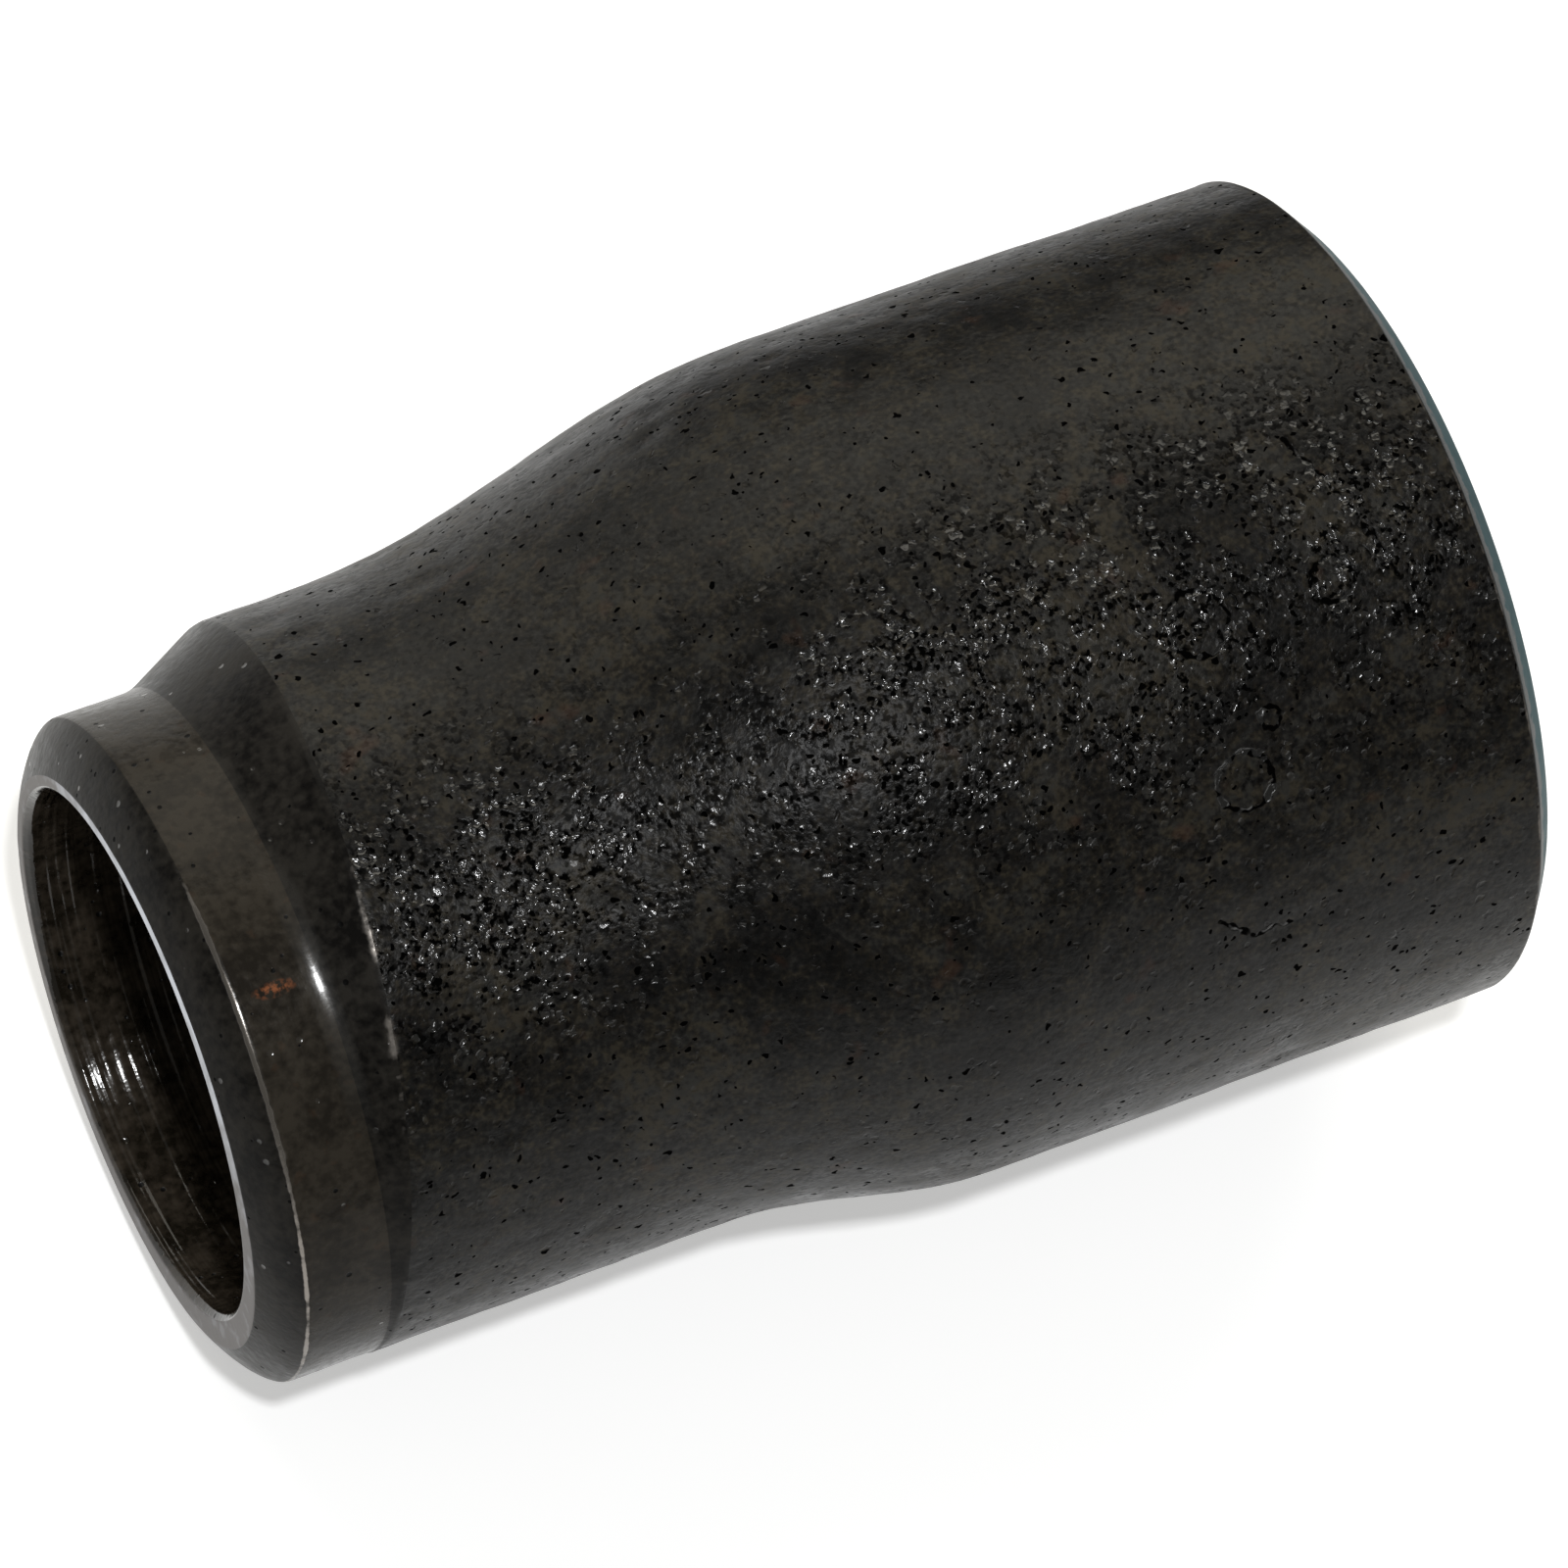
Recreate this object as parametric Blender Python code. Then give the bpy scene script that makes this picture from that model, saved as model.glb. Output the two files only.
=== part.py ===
"""Eccentric reducer for butt welding, forged in steel.

The part lies on its straight side, as it does on a bench. The pipe runs along X with the small end at
+X, Z is up, and the origin is under the middle of the length, on the surface that the part lies on.

It is made standing up, as in a lathe, with the pipe's axis on Z and the centre of the large face at the
origin. The straight side is at +X there, and the opposite side slopes in. A forged tube is lofted
between its two ends. Cutters then do what the lathe does: they turn the small end down to a short
spigot, bevel both ends for welding and bore both ends to size. At the end the part is laid down.
"""

import math

import bmesh
import bpy
from mathutils import Vector

MM = 0.001

# Overall
LENGTH = 52.0 * MM
LARGE_DIAMETER = 33.4 * MM

# Forged skin of the small end, before turning
SKIN_DIAMETER = 28.4 * MM

# Forged walls
LARGE_FORGED_WALL = 3.6 * MM
SKIN_WALL = 4.2 * MM

# The change of diameter, measured down from the small face, on the sloping and on the straight side
SLOPE_START = 7.7 * MM
SLOPE_END = 33.3 * MM
STRAIGHT_START = 21.7 * MM
STRAIGHT_END = 29.5 * MM
LEAN_SHARPNESS = 2.0

# Turned spigot at the small end, set off from the large end's axis towards the straight side and aside
SPIGOT_DIAMETER = 26.7 * MM
SPIGOT_OFFSET = 2.92 * MM
SPIGOT_SIDESTEP = 0.69 * MM
SPIGOT_LENGTH = 4.76 * MM
SPIGOT_WALL = 2.87 * MM
SHOULDER_ANGLE = math.radians(27.0)

# Bores, the small one set off in the same way
SMALL_BORE_OFFSET = 2.75 * MM
SMALL_BORE_SIDESTEP = 0.39 * MM
SMALL_BORE_DEPTH = 8.0 * MM
MOUTH_CHAMFER = 0.23 * MM
LARGE_END_WALL = 3.38 * MM
LARGE_BORE_DEPTH = 7.0 * MM
BORE_LEAD_ANGLE = math.radians(20.0)

# Weld bevels
BEVEL_ANGLE = math.radians(37.5)
SMALL_LAND = 1.03 * MM
LARGE_LAND = 2.15 * MM
SMALL_BEVEL_CROWN = 0.25 * MM

# Facets
SKIN_FACETS = 72
TURNED_FACETS = 96
SLOPE_ROWS = 16
CROWN_ROWS = 4
CUT_PAST = 1.5 * MM
WELD_DISTANCE = 0.0005 * MM
SHARP_EDGE = math.radians(16.0)

# Finish
BLACK_STEEL = (0.034, 0.031, 0.029, 1.0)
STEEL_ROUGHNESS = 0.42
STEEL_METALLIC = 0.35

# Worked out from the sizes above
LARGE_RADIUS = LARGE_DIAMETER / 2
SKIN_RADIUS = SKIN_DIAMETER / 2
SPIGOT_RADIUS = SPIGOT_DIAMETER / 2
SMALL_BORE_RADIUS = SPIGOT_RADIUS - SPIGOT_WALL
LARGE_BORE_RADIUS = LARGE_RADIUS - LARGE_END_WALL
STRAIGHT_WAY = Vector((1.0, 0.0, 0.0))
LARGE_CENTRE = Vector((0.0, 0.0, 0.0))
SKIN_CENTRE = STRAIGHT_WAY * (LARGE_RADIUS - SKIN_RADIUS)
SPIGOT_CENTRE = Vector((SPIGOT_OFFSET, SPIGOT_SIDESTEP, 0.0))
SMALL_BORE_CENTRE = Vector((SMALL_BORE_OFFSET, SMALL_BORE_SIDESTEP, 0.0))
HALF_FACET = math.pi / SKIN_FACETS


def clear_scene():
    """Remove every object, so that the script can run again in the same file."""
    for thing in list(bpy.data.objects):
        bpy.data.objects.remove(thing, do_unlink=True)


def steel():
    """Black forged steel."""
    material = bpy.data.materials.new("black_forged_steel")
    material.use_nodes = True
    shader = material.node_tree.nodes["Principled BSDF"]
    shader.inputs["Base Color"].default_value = BLACK_STEEL
    shader.inputs["Roughness"].default_value = STEEL_ROUGHNESS
    shader.inputs["Metallic"].default_value = STEEL_METALLIC
    return material


def new_object(name, shape):
    """Turn a bmesh into an object in the scene, with its faces pointing out."""
    bmesh.ops.remove_doubles(shape, verts=shape.verts, dist=WELD_DISTANCE)
    bmesh.ops.recalc_face_normals(shape, faces=shape.faces)
    mesh = bpy.data.meshes.new(name)
    shape.to_mesh(mesh)
    shape.free()
    thing = bpy.data.objects.new(name, mesh)
    bpy.context.scene.collection.objects.link(thing)
    return thing


def ease(share):
    """An S curve from 0 to 1 that leaves and arrives level and without a kink in its curvature."""
    return share ** 3 * (10.0 - 15.0 * share + 6.0 * share ** 2)


def lean(outward):
    """How far a direction is turned to the straight side: 0 on the sloping side, 1 on the straight one."""
    return 0.5 + 0.5 * math.tanh(LEAN_SHARPNESS * outward.dot(STRAIGHT_WAY)) / math.tanh(LEAN_SHARPNESS)


def forged_ring(outward_ways, small_radius, large_radius, share, height=None):
    """One closed row of the loft.

    Each point runs along its own rail from the small circle, share 0, to the large circle, share 1.
    The rails of the straight side start later than those of the sloping side, so a row leans. With a
    height given, the row lies flat at that height, as at an end face.
    """
    row = []
    blend = ease(share)
    for outward in outward_ways:
        small_point = SKIN_CENTRE + outward * small_radius
        large_point = LARGE_CENTRE + outward * large_radius
        point = small_point.lerp(large_point, blend)
        side = lean(outward)
        start = SLOPE_START + (STRAIGHT_START - SLOPE_START) * side
        end = SLOPE_END + (STRAIGHT_END - SLOPE_END) * side
        point.z = LENGTH - (start + (end - start) * share) if height is None else height
        row.append(point)
    return row


def forged_tube():
    """The forging: a round tube, lofted outside and inside, with a flat ring at each end.

    A facet is centred on the straight side, so the part rests on it without rolling.
    """
    turns = [HALF_FACET + 2.0 * math.pi * step / SKIN_FACETS for step in range(SKIN_FACETS)]
    ways = [Vector((math.cos(turn), math.sin(turn), 0.0)) for turn in turns]
    shares = [row / SLOPE_ROWS for row in range(SLOPE_ROWS + 1)]
    outside = (SKIN_RADIUS, LARGE_RADIUS)
    inside = (SKIN_RADIUS - SKIN_WALL, LARGE_RADIUS - LARGE_FORGED_WALL)

    rows = [forged_ring(ways, *outside, 0.0, LENGTH)]
    rows += [forged_ring(ways, *outside, share) for share in shares]
    rows += [forged_ring(ways, *outside, 1.0, 0.0)]
    rows += [forged_ring(ways, *inside, 1.0, 0.0)]
    rows += [forged_ring(ways, *inside, share) for share in reversed(shares)]
    rows += [forged_ring(ways, *inside, 0.0, LENGTH)]

    shape = bmesh.new()
    grid = [[shape.verts.new(point) for point in row] for row in rows]
    for row, next_row in zip(grid, grid[1:] + grid[:1]):
        for step in range(SKIN_FACETS):
            after = (step + 1) % SKIN_FACETS
            shape.faces.new((row[step], next_row[step], next_row[after], row[after]))
    return new_object("reducer_body", shape)


def turned_cutter(name, profile, centre):
    """A cutter spun about the upright axis through centre, from (radius, height) corners.

    A profile that starts on the axis gives a core, and any other profile gives a ring.
    """
    shape = bmesh.new()
    corners = [shape.verts.new((radius, 0.0, height)) for radius, height in profile]
    pairs = list(zip(corners, corners[1:]))
    if profile[0][0] > 0.0:
        pairs.append((corners[-1], corners[0]))
    edges = [shape.edges.new(pair) for pair in pairs]
    bmesh.ops.spin(
        shape, geom=corners + edges, cent=(0.0, 0.0, 0.0), axis=(0.0, 0.0, 1.0),
        angle=2.0 * math.pi, steps=TURNED_FACETS, use_duplicate=False,
    )
    cutter = new_object(name, shape)
    cutter.location = centre
    cutter.hide_render = True
    cutter.display_type = "WIRE"
    return cutter


def spigot_cutter():
    """What the lathe takes off outside the small end: bevel, spigot and the shoulder up to the skin.

    The bevel is a cone at the bevel angle, crowned a little where its edges are rounded off. The spigot
    is turned about its own centre, so the shoulder bites deep on one side and runs out on the other.
    """
    land_radius = SMALL_BORE_RADIUS + SMALL_LAND
    bevel_width = SPIGOT_RADIUS - land_radius
    bevel_height = bevel_width * math.tan(BEVEL_ANGLE)
    profile = [(land_radius, LENGTH + CUT_PAST)]
    for row in range(CROWN_ROWS + 1):
        share = row / CROWN_ROWS
        crown = SMALL_BEVEL_CROWN * 4.0 * share * (1.0 - share)
        profile.append((land_radius + bevel_width * share + crown, LENGTH - bevel_height * share))
    profile.append((SPIGOT_RADIUS, LENGTH - SPIGOT_LENGTH))
    reach = SKIN_RADIUS + (SPIGOT_CENTRE - SKIN_CENTRE).length + CUT_PAST
    shoulder = max(reach - SPIGOT_RADIUS, CUT_PAST)
    far_radius = SPIGOT_RADIUS + shoulder
    profile.append((far_radius, LENGTH - SPIGOT_LENGTH - shoulder / math.tan(SHOULDER_ANGLE)))
    profile.append((far_radius, LENGTH + CUT_PAST))
    return turned_cutter("cut_spigot", profile, SPIGOT_CENTRE)


def small_bore_cutter():
    """The bore of the small end, with its broken mouth edge and the tool's run-out into the forging."""
    forged_radius = SKIN_RADIUS - SKIN_WALL
    off_centre = (SMALL_BORE_CENTRE - SKIN_CENTRE).length
    run_out = max(SMALL_BORE_RADIUS - forged_radius + off_centre, 0.0) + CUT_PAST / 3
    bottom = LENGTH - SMALL_BORE_DEPTH - run_out / math.tan(BORE_LEAD_ANGLE)
    profile = [
        (0.0, LENGTH + CUT_PAST),
        (SMALL_BORE_RADIUS + MOUTH_CHAMFER + CUT_PAST, LENGTH + CUT_PAST),
        (SMALL_BORE_RADIUS, LENGTH - MOUTH_CHAMFER),
        (SMALL_BORE_RADIUS, LENGTH - SMALL_BORE_DEPTH),
        (SMALL_BORE_RADIUS - run_out, bottom),
        (0.0, bottom),
    ]
    return turned_cutter("cut_small_bore", profile, SMALL_BORE_CENTRE)


def large_bore_cutter():
    """The bore of the large end, up to the tool's run-out into the forging."""
    forged_radius = LARGE_RADIUS - LARGE_FORGED_WALL
    run_out = max(LARGE_BORE_RADIUS - forged_radius, 0.0) + CUT_PAST / 3
    top = LARGE_BORE_DEPTH + run_out / math.tan(BORE_LEAD_ANGLE)
    profile = [
        (0.0, top),
        (LARGE_BORE_RADIUS - run_out, top),
        (LARGE_BORE_RADIUS, LARGE_BORE_DEPTH),
        (LARGE_BORE_RADIUS, -CUT_PAST),
        (0.0, -CUT_PAST),
    ]
    return turned_cutter("cut_large_bore", profile, LARGE_CENTRE)


def large_bevel_cutter():
    """The weld bevel round the large end: a ring whose inner side is the bevel's cone."""
    land_radius = LARGE_BORE_RADIUS + LARGE_LAND
    slope = math.tan(BEVEL_ANGLE)
    far_radius = LARGE_RADIUS + CUT_PAST
    profile = [
        (land_radius - CUT_PAST, -CUT_PAST * slope),
        (far_radius, (far_radius - land_radius) * slope),
        (far_radius, -CUT_PAST * slope),
    ]
    return turned_cutter("cut_large_bevel", profile, LARGE_CENTRE)


def cut(body, cutters):
    """Take the cutters away from the body, and keep the machined body as its mesh."""
    for cutter in cutters:
        step = body.modifiers.new(cutter.name, "BOOLEAN")
        step.operation = "DIFFERENCE"
        step.solver = "EXACT"
        step.object = cutter
    machined = body.evaluated_get(bpy.context.evaluated_depsgraph_get())
    body.data = bpy.data.meshes.new_from_object(machined)
    body.modifiers.clear()
    for cutter in cutters:
        bpy.data.objects.remove(cutter, do_unlink=True)


def lay_down(body):
    """Turn the standing part onto its straight side, with that side's facet on z = 0."""
    body.rotation_euler = (0.0, math.pi / 2, 0.0)
    body.location = (-LENGTH / 2, 0.0, LARGE_RADIUS * math.cos(HALF_FACET))


def build():
    clear_scene()
    body = forged_tube()
    cut(body, [spigot_cutter(), small_bore_cutter(), large_bore_cutter(), large_bevel_cutter()])
    body.data.materials.clear()
    body.data.materials.append(steel())
    body.data.shade_smooth()
    body.data.set_sharp_from_angle(angle=SHARP_EDGE)
    lay_down(body)


build()
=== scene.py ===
"""The finished look of an eccentric pipe reducer: black forged steel, turned and bevelled at its ends.

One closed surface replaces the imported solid. It is worked out on a grid of two parameters, turn round
the pipe and step along the section, so it carries the real edges, the waviness of the forging, its
pits and the marks of handling. A studio stage holds the floor, the lights and the camera.
"""

import math

import bpy
import numpy as np
from bpy.props import FloatProperty, FloatVectorProperty, IntProperty, PointerProperty
from mathutils import Matrix, Vector


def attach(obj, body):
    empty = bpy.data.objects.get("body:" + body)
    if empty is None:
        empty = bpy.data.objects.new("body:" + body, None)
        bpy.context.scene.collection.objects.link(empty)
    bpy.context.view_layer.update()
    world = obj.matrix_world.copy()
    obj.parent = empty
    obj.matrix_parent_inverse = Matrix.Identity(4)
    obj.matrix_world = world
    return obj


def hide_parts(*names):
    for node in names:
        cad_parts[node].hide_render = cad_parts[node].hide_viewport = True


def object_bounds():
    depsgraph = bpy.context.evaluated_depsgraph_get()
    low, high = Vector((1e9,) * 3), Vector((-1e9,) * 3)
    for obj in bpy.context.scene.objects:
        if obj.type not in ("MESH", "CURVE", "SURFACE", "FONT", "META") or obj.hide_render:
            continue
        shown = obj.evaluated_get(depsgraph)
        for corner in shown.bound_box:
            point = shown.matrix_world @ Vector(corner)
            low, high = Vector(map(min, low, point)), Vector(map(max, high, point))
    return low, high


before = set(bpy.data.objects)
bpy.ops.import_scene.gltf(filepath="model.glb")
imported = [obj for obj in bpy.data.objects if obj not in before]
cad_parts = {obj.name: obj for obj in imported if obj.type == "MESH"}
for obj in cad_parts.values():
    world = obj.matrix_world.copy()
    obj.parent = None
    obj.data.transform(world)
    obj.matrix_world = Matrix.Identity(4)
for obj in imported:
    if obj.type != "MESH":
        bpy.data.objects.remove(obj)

bl_info = {
    "name": "Forged Eccentric Reducer",
    "version": (1, 0, 0),
    "blender": (4, 5, 0),
    "location": "3D View > Sidebar > Reducer",
    "description": "Makes the surface, the finish and the studio of a forged eccentric reducer",
    "category": "Object",
}

MM = 0.001
CAD_LOW, CAD_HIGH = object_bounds()
NODE = "reducer_body"
LENGTH = CAD_HIGH.x - CAD_LOW.x
AXIS_HEIGHT = (CAD_LOW.z + CAD_HIGH.z) / 2


def linear(code):
    """The linear colour of an sRGB hex code such as 2E2A27."""
    channels = [int(code[place:place + 2], 16) / 255 for place in (0, 2, 4)]
    return tuple(c / 12.92 if c <= 0.04045 else ((c + 0.055) / 1.055) ** 2.4 for c in channels) + (1.0,)


class ReducerSizes(bpy.types.PropertyGroup):
    """Sizes of the reducer, the same as the solid's."""

    large_diameter: FloatProperty(
        name="Large diameter", description="Outside diameter of the large end",
        default=CAD_HIGH.y - CAD_LOW.y, unit="LENGTH")
    skin_diameter: FloatProperty(
        name="Forged small diameter", description="Outside diameter of the small end before turning",
        default=28.4 * MM, unit="LENGTH")
    spigot_diameter: FloatProperty(
        name="Spigot diameter", description="Outside diameter of the turned small end",
        default=26.7 * MM, unit="LENGTH")
    spigot_length: FloatProperty(
        name="Spigot length", description="From the small face to the start of the shoulder",
        default=4.76 * MM, unit="LENGTH")
    small_wall: FloatProperty(
        name="Small wall", description="Wall of the turned small end",
        default=2.87 * MM, unit="LENGTH")
    large_wall: FloatProperty(
        name="Large wall", description="Wall of the bored large end",
        default=3.38 * MM, unit="LENGTH")
    bevel_angle: FloatProperty(
        name="Bevel angle", description="Angle of both weld bevels",
        default=math.radians(37.5), subtype="ANGLE", unit="ROTATION")
    shoulder_angle: FloatProperty(
        name="Shoulder angle", description="Angle of the shoulder behind the spigot",
        default=math.radians(27.0), subtype="ANGLE", unit="ROTATION")
    steps_round: IntProperty(
        name="Steps round", description="Grid steps round the pipe", default=360, min=48, max=720)


class ReducerFinish(bpy.types.PropertyGroup):
    """Relief and colours of the reducer's surfaces."""

    waviness: FloatProperty(
        name="Waviness", description="Depth of the forging's slow waves",
        default=0.05 * MM, unit="LENGTH")
    pit_depth: FloatProperty(
        name="Pit depth", description="Depth of the larger pits in the skin",
        default=0.06 * MM, unit="LENGTH")
    scale_colour: FloatVectorProperty(
        name="Scale colour", description="Lightest brown of the varnished forging scale",
        default=linear("2A261E"), size=4, min=0.0, max=1.0, subtype="COLOR")
    steel_colour: FloatVectorProperty(
        name="Steel colour", description="Clean ground steel at the weld lands",
        default=linear("B4B8C0"), size=4, min=0.0, max=1.0, subtype="COLOR")
    rust_colour: FloatVectorProperty(
        name="Rust colour", description="Fresh rust of the freckle on the spigot",
        default=linear("7A4A30"), size=4, min=0.0, max=1.0, subtype="COLOR")


# Sizes that a user would leave as they are
FORGED_WALL_SMALL = 4.2 * MM
FORGED_WALL_LARGE = 3.6 * MM
SLOPE_START = 7.7 * MM
SLOPE_END = 33.3 * MM
STRAIGHT_START = 21.7 * MM
STRAIGHT_END = 29.5 * MM
LEAN_SHARPNESS = 2.0
SPIGOT_CENTRE = np.array((2.92, 0.69)) * MM
SMALL_BORE_CENTRE = np.array((2.75, 0.39)) * MM
SMALL_BORE_DEPTH = 8.0 * MM
LARGE_BORE_DEPTH = 7.0 * MM
BORE_LEAD_ANGLE = math.radians(20.0)
MOUTH_CHAMFER = 0.23 * MM
SMALL_LAND = 1.03 * MM
LARGE_LAND = 2.15 * MM
SMALL_BEVEL_CROWN = 0.25 * MM
TURN_SLIDE = 12.0 * MM
SKIN_ROWS = 100
INNER_ROWS = 26

# The small bevel's outer edge: its rounding, and what the dressed and the rubbed side add to it
BEVEL_EDGE = 0.25 * MM
DRESSED_MORE = 0.6 * MM
RUBBED_MORE = 0.2 * MM

# The side on which that edge is dressed round, and the side whose edges are rubbed bright: the turn of
# its middle, how far it goes to each side, and over how much of that it fades
DRESSED_SIDE = (math.radians(225.0), math.radians(58.0), math.radians(30.0))
RUBBED_SIDE = (math.radians(160.0), math.radians(30.0), math.radians(20.0))

# The larger pits of the skin, with radii in mm, and the ripple of the forged and the turned surfaces
PIT_COUNT = 420
PIT_RADII = (0.3, 0.75)
SKIN_RIPPLE = 0.006 * MM
TURNED_RIPPLE = 0.003 * MM

# The camera that was fitted to the photograph, in the part's frame
CAMERA_PLACE = Vector((106.09, 129.86, 359.56)) * MM
CAMERA_AZIMUTH = math.radians(50.465)
CAMERA_ELEVATION = math.radians(63.838)
CAMERA_ROLL = math.radians(16.99)
CAMERA_LENS = 228.46
CAMERA_SENSOR = 36.0

# The floor's reach from the middle in metres, and the share of white that it gives to the eye
FLOOR_REACH = 3.0
FLOOR_LIFT = 0.44

# The grey card that stands behind the part: how far, how high, and its ends along the pipe
CARD_DISTANCE = 62 * MM
CARD_HEIGHT = 36 * MM
CARD_ENDS = (-300 * MM, -2 * MM)

# Where the turned spigot has a freckle of rust, and its radii where it is full and where it ends
RUST_FRECKLE = Vector((23.0, 4.6, 26.6)) * MM
FRECKLE_RADII = (0.15 * MM, 0.35 * MM)

# The pitted side of the skin: the way it faces, how far it goes to each side, and how softly it ends
PITTED_WAY = (0.0, 0.33, 0.944)
PITTED_HALF_ANGLE = math.radians(38.0)
PITTED_FADE = 0.19

# How pitted the plain skin is, what that side adds and what a cluster adds, and the clusters as turn in
# degrees, depth from the small face in mm and radius in mm
PLAIN_LEVEL = 0.10
BAND_LEVEL = 0.35
CLUSTER_LEVEL = 0.65
PITTED_CLUSTERS = ((160, 8.5, 2.4), (156, 12.0, 2.8), (165, 15.0, 2.4), (160, 28.0, 3.4), (164, 32.0, 2.8),
                   (159, 39.0, 2.6), (163, 47.0, 2.6), (150, 36.0, 2.0))

# The plain punch marks: rings as turn, depth and radius, and bars from one turn and depth to another
MARK_RINGS = ((161, 39.4, 1.25), (160.5, 45.0, 0.85), (139.5, 39.4, 1.15), (146.5, 41.0, 0.42))
MARK_BARS = (((166, 46.9), (158, 47.6)), ((180, 45.4), (170, 46.5)), ((163, 41.0), (157, 41.4)),
             ((121, 37.6), (117, 38.9)), ((117, 38.9), (117, 40.4)))
MARK_HALF_WIDTH = 0.13 * MM

# The heights between which the ground steel goes from darker to lighter, and how far the skin's varnish
# has run over the large bevel
DARK_TO_LIGHT_HEIGHTS = (19 * MM, 25 * MM)
VARNISH_RUN = 0.72 * MM


def add(tree, kind, *values, out=None, stops=(), inputs=None, **settings):
    """Adds a shader node and gives its first output in use, or the one that out names.

    values fill the inputs in use from the first on, and inputs holds values by the input's name. A
    socket is linked, and any other value is set. stops are a ramp's (position, colour) pairs.
    """
    node = tree.nodes.new("ShaderNode" + kind)
    for name, value in settings.items():
        setattr(node, name, value)
    used = [socket for socket in node.inputs if socket.enabled]
    named = [(node.inputs[name], value) for name, value in (inputs or {}).items()]
    for socket, value in [*zip(used, values), *named]:
        if isinstance(value, bpy.types.NodeSocket):
            tree.links.new(value, socket)
        else:
            socket.default_value = value
    if stops:
        elements = node.color_ramp.elements
        while len(elements) < len(stops):
            elements.new(0.5)
        for element, (position, colour) in zip(elements, stops):
            element.position = position
            element.color = colour
    return node.outputs[out] if out else next(socket for socket in node.outputs if socket.enabled)


def across(turn):
    """Unit vectors across the pipe. Turn 0 points at the straight side, a quarter turn at +Y."""
    return np.stack((np.cos(turn), np.sin(turn)), axis=-1)


def ease(share):
    """The S curve 10 w^3 - 15 w^4 + 6 w^5, level and without a kink at both ends."""
    return share ** 3 * (10.0 - 15.0 * share + 6.0 * share ** 2)


def reach(way, shift, radius):
    """How far a circle lies from a point, along unit vectors from it.

    shift goes from the circle's centre to the point. The distance t solves |shift + t way| = radius.
    """
    along = way @ shift
    return -along + np.sqrt(along ** 2 - shift @ shift + radius ** 2)


def forged_surface(turn, depth, small_radius, large_radius, small_centre):
    """Points of the forging, at a turn and at a depth from the small face.

    Each rail keeps its turn, and runs from the small circle to the large one by the S curve between
    its own start and end. The start and end slide from the sloping side's to the straight side's by
    the curve 0.5 + 0.5 tanh(g cos turn) / tanh(g).
    """
    way = across(turn)
    side = 0.5 + 0.5 * np.tanh(LEAN_SHARPNESS * np.cos(turn)) / math.tanh(LEAN_SHARPNESS)
    start = SLOPE_START + (STRAIGHT_START - SLOPE_START) * side
    end = SLOPE_END + (STRAIGHT_END - SLOPE_END) * side
    blend = ease(np.clip((depth - start) / (end - start), 0.0, 1.0))[..., None]
    flat = (small_centre + way * small_radius) * (1.0 - blend) + way * large_radius * blend
    return np.concatenate((flat, depth[..., None]), axis=-1)


def on_side(turn, middle, half_width, fade):
    """1 on one side of the pipe and 0 round the rest, by the S curve over the fade at each end."""
    off = np.abs((turn - middle + math.pi) % (2 * math.pi) - math.pi)
    return ease(np.clip((half_width - off) / fade, 0.0, 1.0))


def profile_rows(corners, roundings, splits, steps_round):
    """Rows along a section whose corners differ from turn to turn.

    corners holds (radius, depth) pairs, each a number or one value per turn. A corner with a rounding r
    is replaced by the quadratic curve that leaves its sides at the distance r, or at 0.45 of a shorter
    side. splits gives the steps of each straight run, and each curve takes four. The second result
    says, for each row, on which run it starts.
    """
    corners = [np.stack([np.broadcast_to(value, steps_round) for value in corner], axis=-1)
               for corner in corners]
    ends = []
    for place, corner in enumerate(corners):
        if place in (0, len(corners) - 1):
            ends.append((corner, corner))
            continue
        legs = [corners[place - 1] - corner, corners[place + 1] - corner]
        lengths = [np.linalg.norm(leg, axis=-1, keepdims=True) for leg in legs]
        cut = np.minimum(roundings[place], 0.45 * np.minimum(*lengths))
        ends.append(tuple(corner + leg / length * cut for leg, length in zip(legs, lengths)))
    rows, runs = [], []
    for place, steps in enumerate(splits):
        first, last = ends[place][1], ends[place + 1][0]
        for step in range(steps):
            rows.append(first + (last - first) * step / steps)
            runs.append(place)
        if place + 1 < len(corners) - 1:
            for share in (0.0, 0.25, 0.5, 0.75):
                rows.append(last * (1 - share) ** 2 + corners[place + 1] * 2 * share * (1 - share)
                            + ends[place + 1][1] * share ** 2)
                runs.append(place if share < 0.5 else place + 1)
    rows.append(corners[-1])
    runs.append(len(splits) - 1)
    return np.array(rows), runs


def crowned(first, last, crown, steps):
    """Corners between two corners, bulged outwards by a parabola of the height crown."""
    shares = np.arange(1, steps) / steps
    return [(first[0] + (last[0] - first[0]) * s + crown * 4 * s * (1 - s),
             first[1] + (last[1] - first[1]) * s) for s in shares]


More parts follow.
